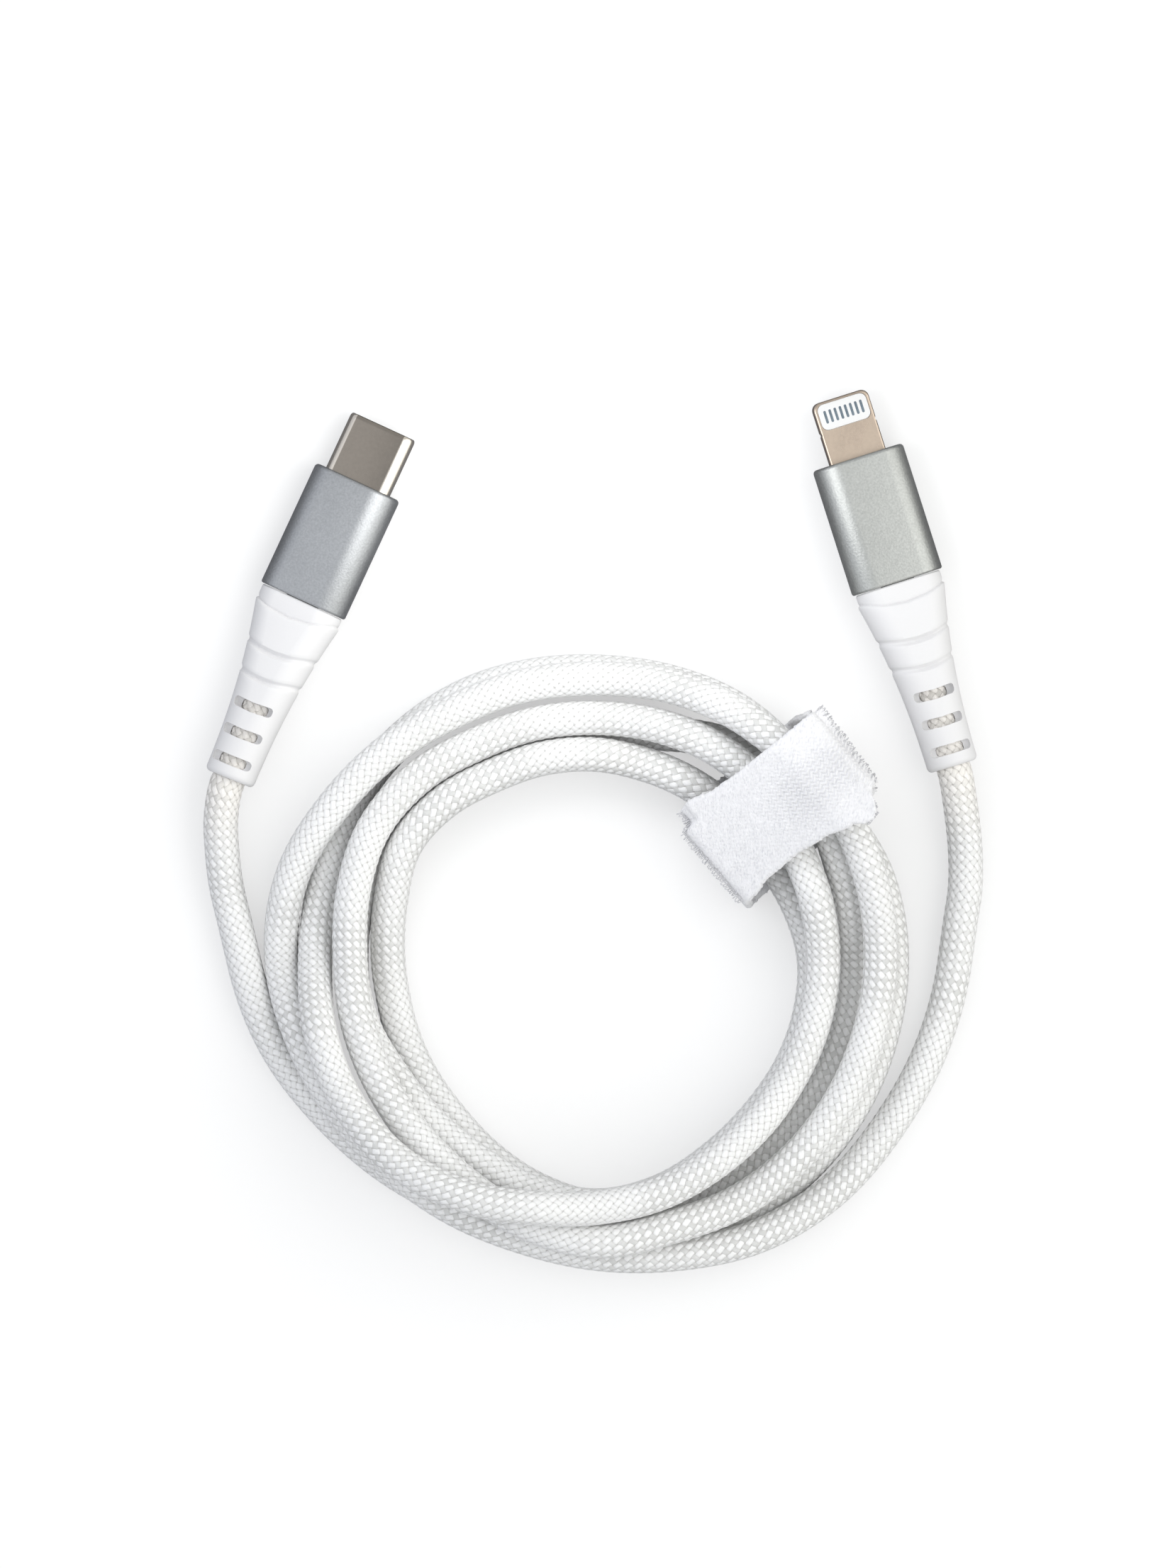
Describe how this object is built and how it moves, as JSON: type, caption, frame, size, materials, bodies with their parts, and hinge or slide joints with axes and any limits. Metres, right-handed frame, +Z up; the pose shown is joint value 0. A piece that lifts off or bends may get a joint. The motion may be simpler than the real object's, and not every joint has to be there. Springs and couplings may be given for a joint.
{
  "type": "charging cable",
  "caption": "Braided charging cable wound into a flat ring under a woven strap, with an oval shell plug and a slim tongue plug on tapered strain reliefs.",
  "frame": {"origin": "on the floor, under the middle of the box round the two plugs and the strap", "axes": "+X across the bundle towards the slim plug, +Y from the bundle towards the plugs' tips, +Z up from the floor"},
  "size_m": [0.0898, 0.1011, 0.0169],
  "materials": {
    "shell_metal": "satin dark nickel plating",
    "dark_insulator": "moulded",
    "gold_contacts": "gold plated",
    "spring_metal": "plain",
    "board": "solder mask",
    "chips": "moulded",
    "can_metal": "tinned",
    "mould": "moulded",
    "oval_sleeve_metal": "satin, bead blasted",
    "tab_sleeve_metal": "satin, bead blasted",
    "relief": "soft matte",
    "conductors": "extruded insulation",
    "tongue_metal": "satin champagne plating",
    "pad": "moulded flush",
    "grey_contacts": "slate plating",
    "braid": "braided",
    "strap": "woven"
  },
  "bodies": {
    "cable": {"oval_plug_shell": "shell_metal", "oval_plug_insulator": "dark_insulator", "oval_plug_upper_contacts": "gold_contacts", "oval_plug_lower_contacts": "gold_contacts", "oval_plug_ground_springs": "spring_metal", "oval_plug_latch": "spring_metal", "oval_plug_board": "board", "oval_plug_board_chips": "chips", "oval_plug_shield_can": "can_metal", "oval_plug_inner_mould": "mould", "oval_plug_sleeve": "oval_sleeve_metal", "oval_plug_relief": "relief", "oval_plug_conductors": "conductors", "oval_plug_jacket_end": "braid", "tab_plug_tongue": "tongue_metal", "tab_plug_contact_insulator": "pad", "tab_plug_upper_contacts": "grey_contacts", "tab_plug_lower_contacts": "grey_contacts", "tab_plug_board": "board", "tab_plug_board_chips": "chips", "tab_plug_shield_can": "can_metal", "tab_plug_inner_mould": "mould", "tab_plug_sleeve": "tab_sleeve_metal", "tab_plug_relief": "relief", "tab_plug_conductors": "conductors", "tab_plug_jacket_end": "braid", "oval_lead": "braid", "cord_coil": "braid", "tab_lead": "braid", "strap_wrap": "strap"},
    "strap_top": {"strap_flap": "strap"}
  },
  "joints": [
    {"name": "strap_open", "type": "hinge", "parent": "cable", "child": "strap_top", "pos_m": [0.01459, -0.02375, 0.009], "axis": [0.6481, -0.7615, 0], "range_deg": [0, 120]}
  ]
}
